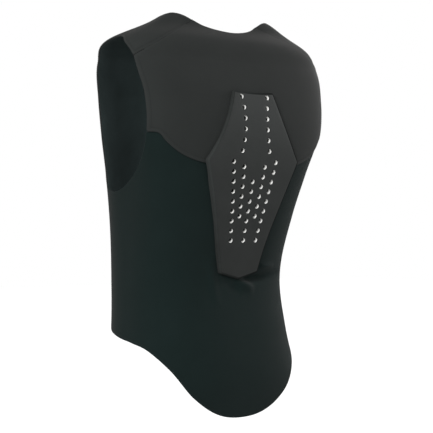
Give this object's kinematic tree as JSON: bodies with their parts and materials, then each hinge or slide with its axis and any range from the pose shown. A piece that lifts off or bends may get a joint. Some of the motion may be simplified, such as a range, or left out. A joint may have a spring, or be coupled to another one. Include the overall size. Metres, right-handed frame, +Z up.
{
  "type": "protective vest",
  "caption": "Close sleeveless back-protector vest with a padded shoulder yoke, a long perforated spine plate with a blunt lower point, stretch sides, a front zip and a dropped rounded tail.",
  "frame": {"origin": "midway between the points where the two shoulder ridges meet the neck opening, where the vest sits on the wearer", "axes": "+Z up, +X towards the wearer's left, +Y towards the wearer's back"},
  "size_m": [0.3936, 0.2714, 0.6497],
  "materials": {
    "yoke_cloth": "matte charcoal knit",
    "stretch_cloth": "matte black stretch knit",
    "zip": "black coil zip",
    "foam": "pale closed-cell foam",
    "plate_skin": "fine-grained soft dark skin"
  },
  "bodies": {
    "root": {"upper_back": "yoke_cloth", "lower_body": "stretch_cloth", "front_left": "yoke_cloth", "front_right": "yoke_cloth", "front_zip": "zip", "plate_core": "foam", "plate_skin": "plate_skin"}
  },
  "joints": []
}
